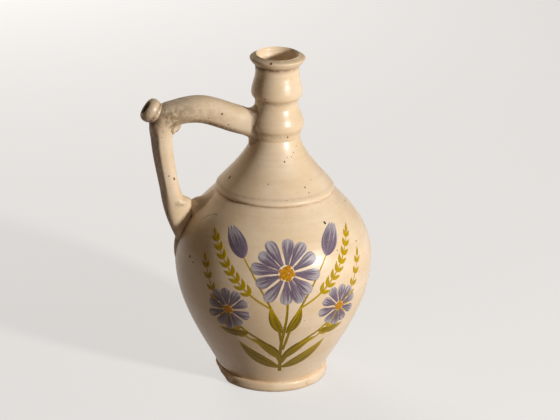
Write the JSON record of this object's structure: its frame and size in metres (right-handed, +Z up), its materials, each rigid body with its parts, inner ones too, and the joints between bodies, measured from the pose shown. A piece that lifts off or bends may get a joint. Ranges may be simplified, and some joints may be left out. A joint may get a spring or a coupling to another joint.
{
  "type": "glazed jug",
  "caption": "Egg-bellied glazed pottery jug with a ringed narrow neck and a hollow arched handle, whose elbow carries a drinking nipple.",
  "frame": {"origin": "centre of the flat underside of the base, on the axis of the belly and neck", "axes": "+Z up the axis of the belly and neck; -X towards the handle; +Y completes the right-handed frame"},
  "size_m": [0.2065, 0.1766, 0.3],
  "materials": {
    "cream_glaze": "glossy cream glaze with pinholes",
    "worn_glaze": "cream glaze, rubbed and stained",
    "bare_clay": "matt unglazed clay",
    "violet_paint": "brushed slate-violet decoration",
    "ochre_paint": "brushed ochre decoration",
    "leaf_paint": "brushed olive-green decoration"
  },
  "bodies": {
    "root": {"base_disc": "cream_glaze", "belly": "cream_glaze", "shoulder": "cream_glaze", "neck": "cream_glaze", "lip": "worn_glaze", "handle_bridge": "cream_glaze", "handle_leg": "cream_glaze", "drinking_nipple": "worn_glaze", "neck_luting": "cream_glaze", "belly_luting": "cream_glaze", "elbow_luting": "worn_glaze"}
  },
  "joints": []
}
